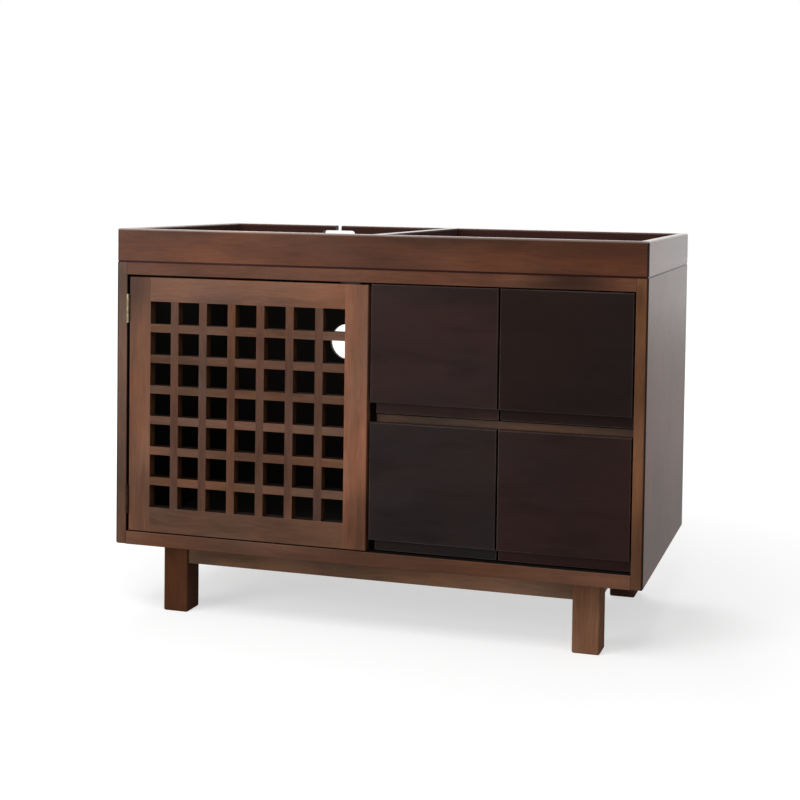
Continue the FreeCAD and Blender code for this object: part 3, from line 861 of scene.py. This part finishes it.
def screw_head(radius):
    """Countersunk head with a cross recess, its face level with the origin and looking up."""
    head = bmesh.new()
    arm = radius * recess_arm
    blade = radius * recess_blade
    bmesh.ops.create_circle(head, cap_ends=True, segments=screw_sides, radius=radius)
    for axis in (Vector((1, 0, 0)), Vector((0, 1, 0))):
        for offset in (-arm, -blade, blade, arm):
            cut = head.faces[:] + head.edges[:] + head.verts[:]
            bmesh.ops.bisect_plane(head, geom=cut, plane_co=axis * offset, plane_no=axis)
    recess = []
    for face in head.faces:
        middle = face.calc_center_median()
        across, along = sorted((abs(middle.x), abs(middle.y)))
        if across < blade and along < arm:
            recess.append(face)
    sunk = verts_of(bmesh.ops.extrude_face_region(head, geom=recess)["geom"])
    bmesh.ops.delete(head, geom=recess, context="FACES")
    bmesh.ops.translate(head, vec=(0, 0, -radius * recess_sink), verts=sunk)
    rim = [edge for edge in head.edges if edge.is_boundary]
    lower = verts_of(bmesh.ops.extrude_edge_only(head, edges=rim)["geom"])
    bmesh.ops.translate(head, vec=(0, 0, -screw_depth), verts=lower)
    bmesh.ops.scale(head, vec=(screw_taper, screw_taper, 1.0), verts=lower)
    bmesh.ops.recalc_face_normals(head, faces=head.faces)
    return head


def add_screws(name, places, facing, radius, proud, material, body):
    """Screw heads on a face that looks along an axis, each turned to an angle of its own."""
    form = bmesh.new()
    toward = Vector(facing)
    stand = toward.to_track_quat("Z", "Y").to_matrix().to_4x4()
    for number, place in enumerate(places):
        head = screw_head(radius)
        swing = Matrix.Rotation(number * recess_turn, 4, "Z")
        lift = Matrix.Translation(Vector(place) + toward * proud)
        head.transform(lift @ stand @ swing)
        shape = bpy.data.meshes.new("head")
        head.to_mesh(shape)
        head.free()
        form.from_mesh(shape)
        bpy.data.meshes.remove(shape)
    mesh = bpy.data.meshes.new(name)
    form.to_mesh(mesh)
    form.free()
    mesh.materials.append(material)
    screws = bpy.data.objects.new(name, mesh)
    bpy.context.scene.collection.objects.link(screws)
    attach(screws, body)


def metal(name, tone, roughness, tarnish_tone, tarnish):
    """Metal with fine brushing and cloudy tarnish."""
    material, tree, shader = new_material(name)
    place = add_node(tree, "TexCoord").outputs["Object"]
    dull = clouds(tree, drawn_out(tree, place, "Z", *tarnish_to_metre), *tarnish_noise)
    brushed = clouds(tree, drawn_out(tree, place, "Z", *brushing_to_metre), *brushing_noise)
    shade = blend(tree, reckon(tree, "MULTIPLY", dull, tarnish), colour(tone), colour(tarnish_tone))
    tree.links.new(shade, shader.inputs["Base Color"])
    film = spread(tree, dull, 0.0, 1.0, *(roughness * each for each in polish_shares))
    film = reckon(tree, "ADD", film, reckon(tree, "MULTIPLY", brushed, brushing_roughness))
    tree.links.new(film, shader.inputs["Roughness"])
    relief = {"Strength": brushing_strength, "Distance": brushing_relief, "Height": brushed}
    tree.links.new(add_node(tree, "Bump", relief).outputs[0], shader.inputs["Normal"])
    shader.inputs["Metallic"].default_value = 1.0
    return material


box_parts = [("sides", "Y", None), ("back", "X", None), ("bottom", "X", "Z")]
for number, drawer in enumerate(face_tones, box_numbers_from):
    for part, grain, ply in box_parts:
        finish = stained_wood(
            f"{drawer}_{part}_lacquer",
            grain,
            box_tone,
            number,
            contrast=box_contrast,
            wear_and_highlight=0.0,
            ply=ply,
        )
        dress(f"{drawer}_drawer_{part}", finish)
runner_finish = stained_wood(
    "drawer_runner_lacquer",
    "Y",
    box_tone,
    runner_number,
    contrast=box_contrast,
    wear_and_highlight=0.0,
)
dress("drawer_runners", runner_finish)
steel = metal("screw_steel", steel_tone, steel_roughness, steel_tarnish_tone, steel_tarnish)
runner_low, runner_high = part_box("drawer_runners")
runner_run = runner_high[1] - runner_low[1]
for face_x, way in runner_faces:
    places = [
        (face_x, runner_low[1] + share * runner_run, height)
        for height in runner_heights
        for share in runner_screw_shares
    ]
    name = f"runner_screws_at_{round(face_x * 1000)}"
    facing = (way, 0, 0)
    add_screws(name, places, facing, runner_screw_radius, runner_screw_proud, steel, "case")


# Hinges. Two brass butt hinges with rolled knuckles on a pin, let into the case and the door and
# each held by three countersunk screws to a leaf. The lower one is given a dark brown finish.
hinge_finishes = {
    "upper": dict(tone=(150, 136, 110), roughness=0.36, tarnish_tone=(88, 74, 54), tarnish=0.8),
    "lower": dict(tone=(62, 46, 36), roughness=0.55, tarnish_tone=(38, 27, 21), tarnish=0.9),
}
hinge_screw_radius = 0.0026
hinge_screw_proud = -0.0001
hinge_screw_y = -0.2469
hinge_screws_per_leaf = 3
hinge_leaves = (("case", -0.4776, 1.0), ("door", -0.4748, -1.0))

for row, hinge_finish in hinge_finishes.items():
    for part in ("case_leaf", "door_leaf", "pin"):
        brass = metal(f"{row}_hinge_{part}_brass", **hinge_finish)
        dress(f"{row}_hinge_{part}", brass)
    leaf_low, leaf_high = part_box(f"{row}_hinge_case_leaf")
    spacing = (leaf_high[2] - leaf_low[2]) / hinge_screws_per_leaf
    for body, face_x, way in hinge_leaves:
        places = [
            (face_x, hinge_screw_y, leaf_low[2] + spacing * (number + 0.5))
            for number in range(hinge_screws_per_leaf)
        ]
        name = f"{row}_hinge_{body}_screws"
        facing = (way, 0, 0)
        add_screws(name, places, facing, hinge_screw_radius, hinge_screw_proud, brass, body)


# Catch. A brown plastic magnetic catch under the top rail with two steel pole plates, and a zinc
# plated strike on the back of the door, held by two screws.
catch_tone = (64, 42, 30)
catch_shares = (0.85, 1.15)
catch_grain_to_metre = (900.0, 900.0)
catch_grain_noise = (3.0, 0.6)
catch_roughness = (0.42, 0.56)
catch_relief = 0.00005
catch_strength = 0.2
pole_width = 0.030
pole_thickness = 0.0012
pole_proud = 0.0003
pole_rise = 0.0036
pole_sunk = 0.004
pole_arris = 0.2
pole_arris_segments = 2
pole_arris_round = 0.5
strike_screw_radius = 0.0022
strike_screw_inset = 0.0055
strike_screw_proud = 0.0001

plastic, plastic_tree, plastic_shader = new_material("catch_plastic_brown")
plastic_place = add_node(plastic_tree, "TexCoord").outputs["Object"]
plastic_fine = drawn_out(plastic_tree, plastic_place, "Z", *catch_grain_to_metre)
plastic_grain = clouds(plastic_tree, plastic_fine, *catch_grain_noise)
plastic_shades = [colour(catch_tone, share) for share in catch_shares]
plastic_shade = blend(plastic_tree, plastic_grain, *plastic_shades)
plastic_film = spread(plastic_tree, plastic_grain, 0.0, 1.0, *catch_roughness)
plastic_relief = {"Strength": catch_strength, "Distance": catch_relief, "Height": plastic_grain}
plastic_bump = add_node(plastic_tree, "Bump", plastic_relief).outputs[0]
plastic_tree.links.new(plastic_shade, plastic_shader.inputs["Base Color"])
plastic_tree.links.new(plastic_film, plastic_shader.inputs["Roughness"])
plastic_tree.links.new(plastic_bump, plastic_shader.inputs["Normal"])
dress("magnetic_catch", plastic)
dress("catch_strike", steel)
catch_low, catch_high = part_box("magnetic_catch")
pole_form = bmesh.new()
for way in (-1, 1):
    pole = bmesh.ops.create_cube(pole_form, size=1.0)["verts"]
    bmesh.ops.scale(pole_form, vec=(pole_width, pole_sunk + pole_proud, pole_thickness), verts=pole)
    middle = Vector(
        (
            (catch_low[0] + catch_high[0]) / 2,
            catch_low[1] + (pole_sunk - pole_proud) / 2,
            (catch_low[2] + catch_high[2]) / 2 + way * pole_rise,
        )
    )
    bmesh.ops.translate(pole_form, vec=middle, verts=pole)
bmesh.ops.bevel(
    pole_form,
    geom=pole_form.edges[:],
    offset=pole_thickness * pole_arris,
    segments=pole_arris_segments,
    affect="EDGES",
    profile=pole_arris_round,
)
pole_mesh = bpy.data.meshes.new("catch_pole_plates")
pole_form.to_mesh(pole_mesh)
pole_form.free()
pole_mesh.materials.append(steel)
pole_plates = bpy.data.objects.new("catch_pole_plates", pole_mesh)
bpy.context.scene.collection.objects.link(pole_plates)
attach(pole_plates, "case")
strike_low, strike_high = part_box("catch_strike")
strike_places = [
    (x, strike_high[1], (strike_low[2] + strike_high[2]) / 2)
    for x in (strike_low[0] + strike_screw_inset, strike_high[0] - strike_screw_inset)
]
add_screws(
    "strike_screws",
    strike_places,
    (0, 1, 0),
    strike_screw_radius,
    strike_screw_proud,
    steel,
    "door",
)
